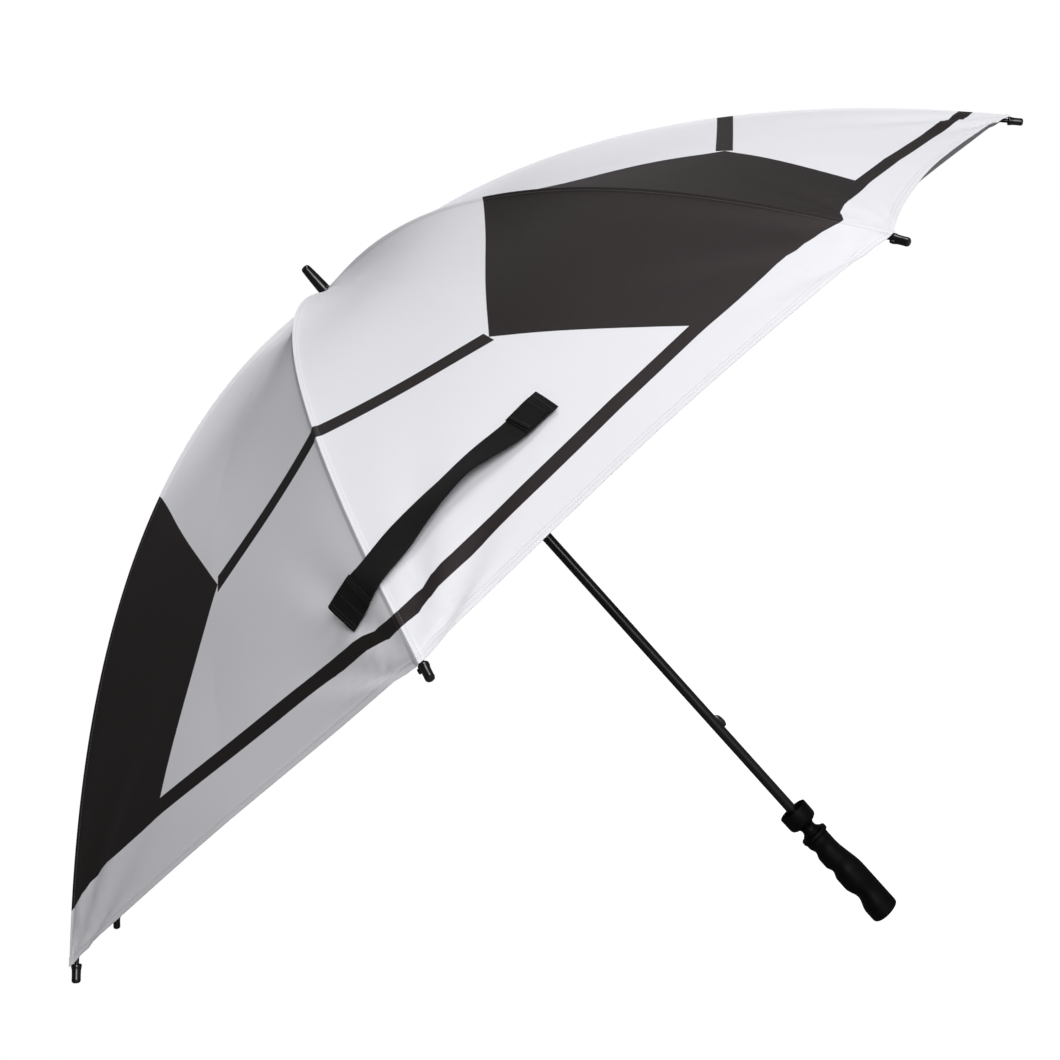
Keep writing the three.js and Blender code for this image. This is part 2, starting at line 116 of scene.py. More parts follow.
floor_width = 14.0
floor_gap = 0.002
floor_grey = (0.42, 0.42, 0.42, 1.0)
floor_bm = bmesh.new()
bmesh.ops.create_grid(floor_bm, x_segments=1, y_segments=1, size=floor_width / 2,
                      matrix=Matrix.Translation((0, 0, -floor_gap)))
floor_mesh = bpy.data.meshes.new("floor")
floor_bm.to_mesh(floor_mesh)
floor_bm.free()
floor = bpy.data.objects.new("floor", floor_mesh)
bpy.context.scene.collection.objects.link(floor)
floor_paint = bpy.data.materials.new("floor_card")
floor_paint.use_nodes = True
floor_shader = floor_paint.node_tree.nodes["Principled BSDF"]
floor_shader.inputs["Base Color"].default_value = floor_grey
floor_shader.inputs["Roughness"].default_value = 0.9
floor_shader.inputs["Emission Color"].default_value = card_white
floor_seen = floor_paint.node_tree.nodes.new("ShaderNodeLightPath")
floor_glow = floor_paint.node_tree.nodes.new("ShaderNodeMath")
floor_glow.operation = "MULTIPLY"
floor_glow.inputs[1].default_value = 1.0
floor_paint.node_tree.links.new(floor_seen.outputs["Is Camera Ray"], floor_glow.inputs[0])
floor_paint.node_tree.links.new(floor_glow.outputs[0], floor_shader.inputs["Emission Strength"])
floor_mesh.materials.append(floor_paint)

# ---- canopy ----
# Eight gores of thin woven polyester, white with a black printed pattern, sewn to each other along the ribs
# and turned over twice at the hem. Each gore is made here as the cloth on both sides of one rib, above and
# below the rib's joint, so that it folds with that rib.
rib_count = 8
rib_step = 2 * math.pi / rib_count
canopy_radius = 0.680
canopy_depth = 0.357
crown_height = 0.935
canopy_curve = 2.08
panel_sag = 0.007
joint_radius = 0.300
crown_hole = 0.0075
# How far the hem curves in between two ribs. The cutter's hems differ from panel to panel.
hem_scallops = [0.008, 0.007, 0.008, 0.007, 0.007, 0.0035, 0.008, 0.015]
corner_pull = 0.0016
corner_width = 0.012
cloth_thickness = 0.0005
half_chord = math.sin(rib_step / 2)

seam_zone = 0.006
crown_hollow = 0.010
ridge_rise = 0.0013
ridge_width = 0.0034
hem_width = 0.008
hem_stitch_inset = 0.0048
fold_spread = 0.075
fold_rise = 0.0028
fold_count = 11.0
slack_rise = 0.0016
slack_wave = 0.23
hem_rise = 0.0005
hem_zone = 0.011
stitch_sink = 0.00035
stitch_width = 0.0006
rib_stitch_inset = 0.0031
# Cells across a half gore and down its inner and outer lengths, with more of them by the seam and the hem.
cells_across = 30
inner_rows = 44
outer_rows = 84
seam_cells = 0.3
hem_cells = 0.25


def cloth_height(r):
    return crown_height - canopy_depth * (r / canopy_radius) ** canopy_curve


def cloth_slope(r):
    return canopy_depth * canopy_curve / canopy_radius * (r / canopy_radius) ** (canopy_curve - 1)


def taut_cloth(r, share, side):
    """The stretched cloth beside the rib on the X axis. Share 0 is the rib, 0.5 the middle of the panel."""
    slope = cloth_slope(r)
    x = r * (1 - share + share * math.cos(rib_step))
    y = side * r * share * math.sin(rib_step)
    sag = panel_sag * 4 * share * (1 - share) * np.sin(math.pi * np.minimum(r / canopy_radius, 1))
    sag = sag / np.sqrt(1 + slope ** 2)
    x = x - sag * slope * math.cos(rib_step / 2)
    y = y - sag * slope * side * half_chord
    return np.stack([x, y, cloth_height(r) - sag], axis=-1)


def smooth(value, low, high):
    t = np.clip((value - low) / (high - low), 0, 1)
    return t * t * (3 - 2 * t)


def cloth_normal(r, share, side):
    """Outward, from the taut cloth's own slopes along and across the panel."""
    step = 0.0004
    low, high = np.maximum(share - 0.01, 0), np.minimum(share + 0.01, 0.5)
    along = taut_cloth(r + step, share, side) - taut_cloth(r - step, share, side)
    across = taut_cloth(r, high, side) - taut_cloth(r, low, side)
    normal = np.cross(along, across) * side
    normal /= np.linalg.norm(normal, axis=-1, keepdims=True)
    # Over the rib both halves stand straight up, so that they meet along the seam.
    normal[..., 1] *= smooth(share * 2 * r * half_chord, 0, seam_zone)
    return normal / np.linalg.norm(normal, axis=-1, keepdims=True)


# Distance from the crown along the middle of a panel, where the flat cloth's threads run straight.
walk = np.linspace(0, canopy_radius * 1.05, 400)
walk_slope = cloth_slope((walk[1:] + walk[:-1]) / 2)
walk_steps = np.sqrt(math.cos(rib_step / 2) ** 2 + walk_slope ** 2) * np.diff(walk)
walked = np.concatenate([[0], np.cumsum(walk_steps)])


def flat_length(r):
    return np.interp(r, walk, walked)


def cloth_relief(r, share, rib, hem_distance):
    """How far the cloth stands off its taut shape: rib ridge, folds from the sewn corner, hem and slack."""
    off_rib = share * 2 * r * half_chord
    up_rib = flat_length(canopy_radius) - flat_length(r)
    ridge = ridge_rise * np.exp(-(off_rib / ridge_width) ** 2)
    reach = np.hypot(off_rib, up_rib)
    turn = np.arctan2(off_rib, up_rib + 0.012)
    fade = (1 - 2 * share) ** 2 * (reach / fold_spread) ** 1.6 * np.exp(1.6 * (1 - reach / fold_spread))
    wave = fold_count * turn + 0.8 * math.sin(2.3 * rib)
    folds = fold_rise * fade * smooth(turn, 0.02, 0.22) * (np.sin(wave) + 0.35 * np.sin(2 * wave + 0.6))
    slack = slack_rise * 16 * share * (0.5 - share) * np.sin(2 * math.pi * r / slack_wave + 1.9 * rib)
    hollow = crown_hollow * 4 * share * (1 - share) * smooth(r, 0.02, 0.11) * (1 - smooth(r, 0.19, 0.45))
    turned_hem = hem_rise * (1 - smooth(hem_distance, hem_width - 0.0008, hem_width + 0.0004))
    thread_line = stitch_sink * np.exp(-((hem_distance - hem_stitch_inset) / stitch_width) ** 2)
    return ridge + folds + slack - hollow + turned_hem - thread_line


def spaced(t, zone, zone_share, length):
    """Positions over a length, closer together within a zone at its start."""
    near = zone * t / zone_share
    far = zone + (length - zone) * (t - zone_share) / (1 - zone_share)
    return np.where(t < zone_share, near, far)


# The printed ring dips towards the middle of each panel, and lifts where it crosses the stiff seam on a rib.
ring_stops = [0.0, 0.035, 0.09, 0.2, 0.5, 0.7, 0.93, 1.0]
ring_radii = [0.6490, 0.6475, 0.6440, 0.6402, 0.6345, 0.6312, 0.6330, 0.6430]


def mesh_from(bm, name, materials, sharp_angle=35):
    mesh = bpy.data.meshes.new(name)
    bm.to_mesh(mesh)
    bm.free()
    for material in materials:
        mesh.materials.append(material)
    mesh.shade_smooth()
    mesh.set_sharp_from_angle(angle=math.radians(sharp_angle))
    return mesh


def set_map(mesh, name, values):
    """A UV map with one pair of values for each vertex."""
    layer = mesh.uv_layers.new(name=name)
    corners = np.zeros(len(mesh.loops), dtype=np.int32)
    mesh.loops.foreach_get("vertex_index", corners)
    layer.data.foreach_set("uv", values[corners].astype(np.float32).ravel())


def settle(piece, sharp_angle):
    """Makes a piece's modifiers part of its mesh."""
    finished = bpy.data.meshes.new_from_object(piece.evaluated_get(bpy.context.evaluated_depsgraph_get()))
    piece.modifiers.clear()
    piece.data = finished
    finished.name = piece.name
    finished.shade_smooth()
    finished.set_sharp_from_angle(angle=math.radians(sharp_angle))


def half_gore(name, rib, side, inner, materials):
    """The cloth on one side of a rib, above or below its joint, bent from a flat grid onto the canopy."""
    bm = bmesh.new()
    rows = inner_rows if inner else outer_rows
    bmesh.ops.create_grid(bm, x_segments=cells_across, y_segments=rows, size=0.5)
    grid = np.array([v.co for v in bm.verts])
    across, along = grid[:, 0] + 0.5, grid[:, 1] + 0.5
    if inner:
        r = crown_hole + (joint_radius - crown_hole) * along
        hem_distance = np.full(len(r), 1.0)
        zone = np.minimum(seam_zone, seam_cells * r * half_chord)
        share = 0.5 * spaced(across, zone, seam_cells, r * half_chord) / (r * half_chord)
    else:
        ends = canopy_radius * half_chord
        guess = 0.5 * spaced(across, seam_zone, seam_cells, ends) / ends
        scallop = hem_scallops[rib if side > 0 else rib - 1]
        end = canopy_radius - scallop * (1 - (1 - 2 * guess) ** 2)
        end += corner_pull * np.exp(-(guess * 2 * ends / corner_width) ** 2)
        r = end - spaced(1 - along, hem_zone, hem_cells, end - joint_radius)
        share = 0.5 * spaced(across, seam_zone, seam_cells, r * half_chord) / (r * half_chord)
        hem_distance = flat_length(end) - flat_length(r)
    points = taut_cloth(r, share, side)
    points += cloth_normal(r, share, side) * cloth_relief(r, share, rib, hem_distance)[:, None]
    turn = np.array(Matrix.Rotation(rib * rib_step, 3, "Z"))
    points = points @ turn.T
    for vert, point in zip(bm.verts, points):
        vert.co = point
    bm.normal_update()
    if sum(face.normal.z for face in bm.faces) < 0:
        bmesh.ops.reverse_faces(bm, faces=bm.faces)
    mesh = mesh_from(bm, name, materials)
    from_even = share if rib % 2 == 0 else 1 - share
    offset = (2 * from_even - 1) * r * half_chord
    ring = np.interp(from_even, ring_stops, ring_radii)
    off_rib = share * 2 * r * half_chord
    set_map(mesh, "print", np.stack([offset, flat_length(r)], axis=-1))
    set_map(mesh, "edges", np.stack([flat_length(r) - flat_length(ring), hem_distance], axis=-1))
    set_map(mesh, "seam", np.stack([off_rib, flat_length(r)], axis=-1))
    mesh.uv_layers.active = mesh.uv_layers["print"]
    gore = bpy.data.objects.new(name, mesh)
    bpy.context.scene.collection.objects.link(gore)
    wall = gore.modifiers.new("wall", "SOLIDIFY")
    wall.thickness = cloth_thickness
    wall.offset = -1
    wall.use_even_offset = True
    wall.material_offset = 1
    settle(gore, 40)
    return gore


def node(tree, kind, inputs=(), **settings):
    """A shader node with its settings, and inputs given as values or as the sockets that feed them."""
    made = tree.nodes.new(kind)
    for key, value in settings.items():
        setattr(made, key, value)
    for key, value in dict(inputs).items():
        if isinstance(value, bpy.types.NodeSocket):
            tree.links.new(value, made.inputs[key])
        else:
            made.inputs[key].default_value = value
    return made


def calc(tree, operation, first, second=0.0):
    return node(tree, "ShaderNodeMath", {0: first, 1: second}, operation=operation).outputs[0]


def product(tree, first, second):
    return calc(tree, "MULTIPLY", first, second)


def less(tree, first, second):
    return calc(tree, "SUBTRACT", first, second)


def distance_of(tree, value):
    return calc(tree, "ABSOLUTE", value)


def group(name, inputs, outputs):
    """A shader node group with its named inputs (kind, default) and outputs (kind)."""
    tree = bpy.data.node_groups.new(name, "ShaderNodeTree")
    for key, (kind, default) in inputs.items():
        socket = tree.interface.new_socket(key, in_out="INPUT", socket_type="NodeSocket" + kind)
        if default is not None:
            socket.default_value = default
    for key, kind in outputs.items():
        tree.interface.new_socket(key, in_out="OUTPUT", socket_type="NodeSocket" + kind)
    return tree, tree.nodes.new("NodeGroupInput").outputs, tree.nodes.new("NodeGroupOutput").inputs


def edge(tree, value, softness=0.0006):
    """1 where a distance is above zero, 0 below, with a narrow soft step between."""
    span = {"Value": value, "From Min": -softness / 2, "From Max": softness / 2}
    return node(tree, "ShaderNodeMapRange", span, interpolation_type="SMOOTHSTEP").outputs["Result"]


def beyond(tree, point, start, end):
    """How far a point of the flat panel lies to the right of the line from start to end."""
    (x0, y0), (x1, y1) = start, end
    length = math.hypot(x1 - x0, y1 - y0)
    right = ((y1 - y0) / length, -(x1 - x0) / length, 0.0)
    shifted = node(tree, "ShaderNodeVectorMath", {0: point, 1: (x0, y0, 0.0)}, operation="SUBTRACT")
    along = node(tree, "ShaderNodeVectorMath", {0: shifted.outputs[0], 1: right}, operation="DOT_PRODUCT")
    return along.outputs["Value"]


def on_panel(from_even, r):
    """A corner of the print, by its share of the panel from an even rib and its cross thread's radius."""
    return ((2 * from_even - 1) * r * half_chord, float(flat_length(r)))


band_at_rib, band_at_corner = on_panel(0.0, 0.4545), on_panel(0.46, 0.4985)
band_width = 0.0175
corner_mid = on_panel(0.472, 0.500)
corner_crown = on_panel(1.0, 0.314)
corner_ring = on_panel(0.706, 0.634)
ring_width = 0.0150

print_tree, print_in, print_out = group(
    "printed_panel", {"Panel": ("Vector", None), "From Ring": ("Float", 0.0)}, {"Ink": "Float"})
panel, from_ring = print_in["Panel"], print_in["From Ring"]
off_band = distance_of(print_tree, beyond(print_tree, panel, band_at_rib, band_at_corner))
in_band = edge(print_tree, less(print_tree, band_width / 2, off_band))
past_corner = beyond(print_tree, panel, (corner_mid[0], 0.0), (corner_mid[0], 1.0))
in_band = product(print_tree, in_band, edge(print_tree, product(print_tree, past_corner, -1.0)))
below_crown_edge = edge(print_tree, beyond(print_tree, panel, corner_crown, corner_mid))
beyond_side_edge = edge(print_tree, beyond(print_tree, panel, corner_mid, corner_ring))
inside_ring = edge(print_tree, less(print_tree, ring_width / 2, from_ring))
in_patch = product(print_tree, product(print_tree, below_crown_edge, beyond_side_edge), inside_ring)
in_ring = edge(print_tree, less(print_tree, ring_width / 2, distance_of(print_tree, from_ring)))
inked = calc(print_tree, "MAXIMUM", calc(print_tree, "MAXIMUM", in_band, in_patch), in_ring)
print_tree.links.new(inked, print_out["Ink"])

weave_tree, weave_in, weave_out = group(
    "plain_weave",
    {"Cloth": ("Vector", None), "Thread": ("Float", 0.0006)},
    {"Height": "Float", "Slub": "Float"})
threads = node(weave_tree, "ShaderNodeSeparateXYZ", {0: weave_in["Cloth"]}).outputs
warp, weft = (calc(weave_tree, "SINE", calc(
    weave_tree, "DIVIDE", product(weave_tree, axis, math.pi), weave_in["Thread"])) for axis in threads[:2])
crossing = product(weave_tree, warp, weft)
slubs = node(weave_tree, "ShaderNodeTexNoise", {"Vector": weave_in["Cloth"], "Scale": 160.0, "Detail": 4.0})
weave_tree.links.new(crossing, weave_out["Height"])
weave_tree.links.new(slubs.outputs["Fac"], weave_out["Slub"])

stitch_tree, stitch_in, stitch_out = group(
    "stitch_row",
    {"Across": ("Float", 0.0), "Along": ("Float", 0.0), "Place": ("Float", 0.004), "Width": ("Float", 0.0007),
     "Pitch": ("Float", 0.003)},
    {"Thread": "Float"})
stitch_half = 0.36
aside = distance_of(stitch_tree, less(stitch_tree, stitch_in["Across"], stitch_in["Place"]))
on_row = edge(stitch_tree, less(stitch_tree, product(stitch_tree, stitch_in["Width"], 0.5), aside), 0.0003)
repeat = calc(stitch_tree, "FRACT", calc(stitch_tree, "DIVIDE", stitch_in["Along"], stitch_in["Pitch"]))
off_middle = distance_of(stitch_tree, less(stitch_tree, repeat, 0.5))
in_stitch = edge(stitch_tree, less(stitch_tree, stitch_half, off_middle), 0.12)
stitch_tree.links.new(product(stitch_tree, on_row, in_stitch), stitch_out["Thread"])


def placed(tree, group_name, inputs):
    made = tree.nodes.new("ShaderNodeGroup")
    made.node_tree = bpy.data.node_groups[group_name]
    for key, value in inputs.items():
        if isinstance(value, bpy.types.NodeSocket):
            tree.links.new(value, made.inputs[key])
        else:
            made.inputs[key].default_value = value
    return made.outputs


def uv(tree, name):
    return node(tree, "ShaderNodeUVMap", uv_map=name).outputs["UV"]


def mixed(tree, share, first, second):
    mix = tree.nodes.new("ShaderNodeMix")
    mix.data_type = "RGBA"
    for index, value in ((0, share), (6, first), (7, second)):
        if isinstance(value, bpy.types.NodeSocket):
            tree.links.new(value, mix.inputs[index])
        else:
            mix.inputs[index].default_value = value
    return mix.outputs[2]


def shader_of(name):
    material = bpy.data.materials.new(name)
    material.use_nodes = True
    return material, material.node_tree, material.node_tree.nodes["Principled BSDF"]


def canopy_cloth(name, white, black, ink_strength):
    """Woven polyester with the print's ink in it. Less ink shows on the underside."""
    material, tree, shader = shader_of(name)
    edges = node(tree, "ShaderNodeSeparateXYZ", {0: uv(tree, "edges")}).outputs
    seam = node(tree, "ShaderNodeSeparateXYZ", {0: uv(tree, "seam")}).outputs
    weave = placed(tree, "plain_weave", {"Cloth": uv(tree, "print")})
    ink = placed(tree, "printed_panel", {"Panel": uv(tree, "print"), "From Ring": edges["X"]})["Ink"]
    ink = product(tree, ink, ink_strength)
    hem_row = placed(tree, "stitch_row", {
        "Across": edges["Y"], "Along": seam["X"], "Place": hem_stitch_inset})["Thread"]
    rib_row = placed(tree, "stitch_row", {
        "Across": seam["X"], "Along": seam["Y"], "Place": rib_stitch_inset})["Thread"]
    sewn = calc(tree, "MAXIMUM", hem_row, rib_row)
    tone = calc(tree, "MULTIPLY_ADD", weave["Slub"], 0.5)
    tone.node.inputs[2].default_value = 0.25
    pale = mixed(tree, tone, tuple(0.965 * c for c in white) + (1.0,), tuple(white) + (1.0,))
    cloth = mixed(tree, ink, pale, tuple(black) + (1.0,))
    shaded = mixed(tree, product(tree, sewn, 0.22), cloth, (0.25, 0.25, 0.26, 1.0))
    tree.links.new(shaded, shader.inputs["Base Color"])
    rough = calc(tree, "MULTIPLY_ADD", ink, -0.14)
    rough.node.inputs[2].default_value = 0.68
    rough = calc(tree, "ADD", rough, product(tree, weave["Slub"], 0.08))
    tree.links.new(rough, shader.inputs["Roughness"])
    height = calc(tree, "ADD", product(tree, weave["Height"], 0.00004), product(tree, sewn, 0.00022))
    bump = node(tree, "ShaderNodeBump", {"Height": height, "Distance": 1.0, "Strength": 0.6})
    tree.links.new(bump.outputs["Normal"], shader.inputs["Normal"])
    shine = mixed(tree, ink, (1.0, 1.0, 1.0, 1.0), (1.0, 0.83, 0.85, 1.0))
    tree.links.new(shine, shader.inputs["Specular Tint"])
    shader.inputs["Specular IOR Level"].default_value = 0.5
    return material


cloth_white = (0.79, 0.79, 0.83)
ink_black = (0.0060, 0.0048, 0.0047)
cloth_outside = canopy_cloth("canopy_cloth", cloth_white, ink_black, 1.0)
cloth_inside = canopy_cloth("canopy_cloth_underside", (0.71, 0.71, 0.75), ink_black, 0.82)


def gather_to_rib(piece, side, low, high):
    """Works out which way the cloth beside a rib would be drawn in to it as the ribs close, and gives the
    piece its own copy of its mesh; the piece is not moved.
    """
    middle = (low + high) / 2
    top, foot, near, out = (Vector(taut_cloth(np.float64(r), np.float64(s), side)) for r, s in (
        (low, 0.0), (high, 0.0), (middle, 0.0), (middle, 0.5)))
    along = (foot - top).normalized()
    drawn = ((out - near) - (out - near).project(along)).normalized()
    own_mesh(piece)


for rib in range(rib_count):
    for side, side_name in ((1, "left"), (-1, "right")):
        for inner in (True, False):
            part = "inner" if inner else "outer"
            low, high = (crown_hole, joint_radius) if inner else (joint_radius, canopy_radius)
            name = f"canopy_{part}_{rib}_{side_name}"
            half = half_gore(name, rib, side, inner, [cloth_outside, cloth_inside])
            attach(half, f"rib_{part}_{rib}")
            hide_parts(f"gore_{part}_{rib}")
            gather_to_rib(half, side, low, high)

# ---- tip caps ----
# A short glossy moulding pushed over the end of each rib. The corner of the cloth is sewn through the lug
# at its wide end, which pulls the canopy tight.
rib_depth = 0.0049
tip_gap = 0.00025
tip_profile = [
    (0.0024, 0.0), (0.0042, 0.0), (0.0046, 0.0006), (0.0046, 0.0024), (0.0042, 0.0040), (0.0040, 0.0054),
    (0.0039, 0.0085), (0.0039, 0.0118), (0.0040, 0.0138), (0.0036, 0.0153), (0.0025, 0.0162), (0.0, 0.0165),
]


def turned(profile, steps=64):
    """A body of revolution about Z from (radius, height) points that end on the axis or meet."""
    bm = bmesh.new()
    verts = [bm.verts.new((r, 0, z)) for r, z in profile]
    edges = [bm.edges.new(pair) for pair in zip(verts, verts[1:])]
    bmesh.ops.spin(bm, geom=verts + edges, axis=(0, 0, 1), cent=(0, 0, 0), angle=2 * math.pi, steps=steps,
                   use_merge=True)
    bmesh.ops.remove_doubles(bm, verts=bm.verts, dist=1e-6)
    bmesh.ops.recalc_face_normals(bm, faces=bm.faces)
    return bm


def rounded(bm, edges, width, segments):
    bmesh.ops.bevel(bm, geom=edges, offset=width, offset_type="OFFSET", affect="EDGES", segments=segments,
                    profile=0.5, material=-1, clamp_overlap=True)


def soften(bm, width, angle=35, segments=2):
    """Rounds the edges where two faces meet at more than an angle."""
    sharp = [e for e in bm.edges if len(e.link_faces) == 2 and e.calc_face_angle() > math.radians(angle)]
    rounded(bm, sharp, width, segments)


def box_at(bm, low, high, turn=Matrix.Identity(4)):
    size = Vector(high) - Vector(low)
    middle = (Vector(high) + Vector(low)) / 2
    fitted = turn @ Matrix.Translation(middle) @ Matrix.Diagonal((*size, 1.0))
    return bmesh.ops.create_cube(bm, size=1.0, matrix=fitted)["verts"]


def pin_at(bm, place, radius, half_length, steps=24):
    """A pin across a rib, along Y."""
    fitted = Matrix.Translation(place) @ Matrix.Rotation(math.pi / 2, 4, "X")
    return bmesh.ops.create_cone(bm, cap_ends=True, segments=steps, radius1=radius, radius2=radius,
                                 depth=2 * half_length, matrix=fitted)["verts"]


def fitted_piece(name, bm, material, body, nodes=(), turn=Matrix.Identity(4), sharp_angle=35):
    """Turns a piece into its place and hangs it on its body."""
    bmesh.ops.transform(bm, matrix=turn, verts=bm.verts)
    piece = bpy.data.objects.new(name, mesh_from(bm, name, [material], sharp_angle))
    bpy.context.scene.collection.objects.link(piece)
    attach(piece, body)
    if nodes:
        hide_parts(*nodes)
    return piece


def under_cloth(r, depth=rib_depth):
    """A point on the line of a rib, a set depth inside the cloth on the X axis."""
    scale = depth / math.hypot(1, cloth_slope(r))
    return Vector((r - cloth_slope(r) * scale, 0, cloth_height(r) - scale))


grain_tree, grain_in, grain_out = group(
    "moulded_grain",
    {"Place": ("Vector", None), "Grain": ("Float", 900.0), "Smooth": ("Float", 0.3),
     "Rough": ("Float", 0.45)},
    {"Height": "Float", "Roughness": "Float", "Haze": "Float"})
fine = node(grain_tree, "ShaderNodeTexNoise", {
    "Vector": grain_in["Place"], "Scale": grain_in["Grain"], "Detail": 3.0})
broad = node(grain_tree, "ShaderNodeTexNoise", {"Vector": grain_in["Place"], "Scale": 38.0, "Detail": 6.0})
spread = node(grain_tree, "ShaderNodeMapRange", {
    "Value": broad.outputs["Fac"], "From Min": 0.3, "From Max": 0.7, "To Min": grain_in["Smooth"],
    "To Max": grain_in["Rough"]})
grain_tree.links.new(fine.outputs["Fac"], grain_out["Height"])
grain_tree.links.new(spread.outputs["Result"], grain_out["Roughness"])
grain_tree.links.new(broad.outputs["Fac"], grain_out["Haze"])


def moulding(name, dark, light, smooth_part, rough_part, grain, relief, coat=0.0, shine=0.5):
    """Black moulded plastic or paint: a fine grain, hazier in places where hands have rubbed it."""
    material, tree, shader = shader_of(name)
    place = node(tree, "ShaderNodeTexCoord").outputs["Object"]
    finish = placed(tree, "moulded_grain", {
        "Place": place, "Grain": grain, "Smooth": smooth_part, "Rough": rough_part})
    tree.links.new(mixed(tree, finish["Haze"], (*dark, 1.0), (*light, 1.0)), shader.inputs["Base Color"])
    tree.links.new(finish["Roughness"], shader.inputs["Roughness"])
    bump = node(tree, "ShaderNodeBump", {"Height": finish["Height"], "Distance": relief, "Strength": 0.5})
    tree.links.new(bump.outputs["Normal"], shader.inputs["Normal"])
    shader.inputs["Coat Weight"].default_value = coat
    shader.inputs["Specular IOR Level"].default_value = shine
    return material


gloss_black = moulding("gloss_black", (0.002, 0.002, 0.002), (0.004, 0.004, 0.004), 0.14, 0.26, 500.0,
                       0.00002, coat=0.3, shine=0.4)
rim_angle = math.atan(cloth_slope(canopy_radius))
rim_direction = Vector((math.cos(rim_angle), 0, -math.sin(rim_angle)))
tip_start = under_cloth(canopy_radius) + rim_direction * tip_gap
tip_turn = Matrix.Translation(tip_start) @ Matrix.Rotation(math.pi / 2 + rim_angle, 4, "Y")

tip_bore = 0.0024
tip_bore_depth = 0.0120
lug_low, lug_high = (-0.0013, -0.0062, 0.0003), (0.0013, -0.0030, 0.0050)
lug_round = 0.0007

for rib in range(rib_count):
    bm = turned(tip_profile + [(0.0, tip_bore_depth), (tip_bore, tip_bore_depth), (tip_bore, 0.0)], 40)
    lug = box_at(bm, lug_low, lug_high)
    rounded(bm, list({e for v in lug for e in v.link_edges}), lug_round, 3)
    fitted_piece(f"rib_tip_{rib}", bm, gloss_black, f"rib_outer_{rib}", [f"tip_cap_{rib}"],
                 Matrix.Rotation(rib * rib_step, 4, "Z") @ tip_turn)

# ---- closing strap ----
# Black polyester webbing 30 mm wide, folded under and sewn to the canopy beside one rib, so that it can be
# wrapped round the closed cloth. Its loose end carries a square of hook tape. It stands off the open panel.
strap_width = 0.030
strap_thickness = 0.0013
strap_rib = 6
strap_side = 1
# Each stop: share of the panel from the strap's rib, radius, how far it stands off, and its lean in degrees.
strap_stops = [
    (-0.099, 0.6233, 0.0072, 27), (-0.052, 0.6178, 0.0074, 24), (-0.007, 0.6122, 0.0074, 10),
    (0.058, 0.6054, 0.0070, 0), (0.102, 0.6016, 0.0078, -8), (0.150, 0.5990, 0.0090, -16),
    (0.190, 0.5976, 0.0097, -21), (0.234, 0.5964, 0.0100, -21), (0.274, 0.5969, 0.0090, -14),
    (0.345, 0.5983, 0.0064, -4), (0.398, 0.5963, 0.0050, 0), (0.429, 0.5962, 0.0050, 0),
]


def cloth_up(share, radius):
    """Straight out from the canopy, on either side of the strap's rib."""
    return cloth_normal(np.float64(radius), np.float64(abs(share)), 1 if share >= 0 else -1)


def strap_place(share, radius, lift):
    """A point over the canopy, on either side of the strap's rib."""
    taut = taut_cloth(np.float64(radius), np.float64(abs(share)), 1 if share >= 0 else -1)
    return taut + cloth_up(share, radius) * lift


def through_stops(stops, t):
    """A smooth line through evenly numbered stops, at positions t from 0 to 1."""
    stops = np.asarray(stops, dtype=float)
    padded = np.concatenate([[2 * stops[0] - stops[1]], stops, [2 * stops[-1] - stops[-2]]])
    position = t * (len(stops) - 1)
    index = np.minimum(position.astype(int), len(stops) - 2)
    u = (position - index).reshape((-1,) + (1,) * (stops.ndim - 1))
    a, b, c, d = (padded[index + i] for i in range(4))
    square = (2 * a - 5 * b + 4 * c - d) * u ** 2
    cube = (3 * b - a - 3 * c + d) * u ** 3
    return 0.5 * (2 * b + (c - a) * u + square + cube)


strap_points = np.array([strap_place(share, radius, lift) for share, radius, lift, lean in strap_stops])
strap_leans = np.array([lean for share, radius, lift, lean in strap_stops], dtype=float)
strap_ups = np.array([cloth_up(share, radius) for share, radius, lift, lean in strap_stops])
strap_fine = np.linspace(0, 1, 400)
strap_line = through_stops(strap_points, strap_fine)
strap_run = np.concatenate([[0], np.cumsum(np.linalg.norm(np.diff(strap_line, axis=0), axis=1))])
strap_length = float(strap_run[-1])


def webbing_points(distance, across, lift):
    """Places on the strap: a distance from its sewn end, metres across it, and a height above it."""
    t = np.interp(distance, strap_run, strap_fine)
    before, middle, after = (
        through_stops(strap_points, np.clip(t + step, 0, 1)) for step in (-0.004, 0.0, 0.004))
    ahead = after - before
    ahead /= np.linalg.norm(ahead, axis=1, keepdims=True)
    sideways = np.cross(through_stops(strap_ups, t), ahead)
    sideways /= np.linalg.norm(sideways, axis=1, keepdims=True)
    up = np.cross(ahead, sideways)
    lean = np.radians(through_stops(strap_leans, t))[:, None]
    leaning = sideways * np.cos(lean) + up * np.sin(lean)
    standing = np.cross(ahead, leaning)
    return middle + leaning * np.asarray(across)[:, None] + standing * np.asarray(lift)[:, None]


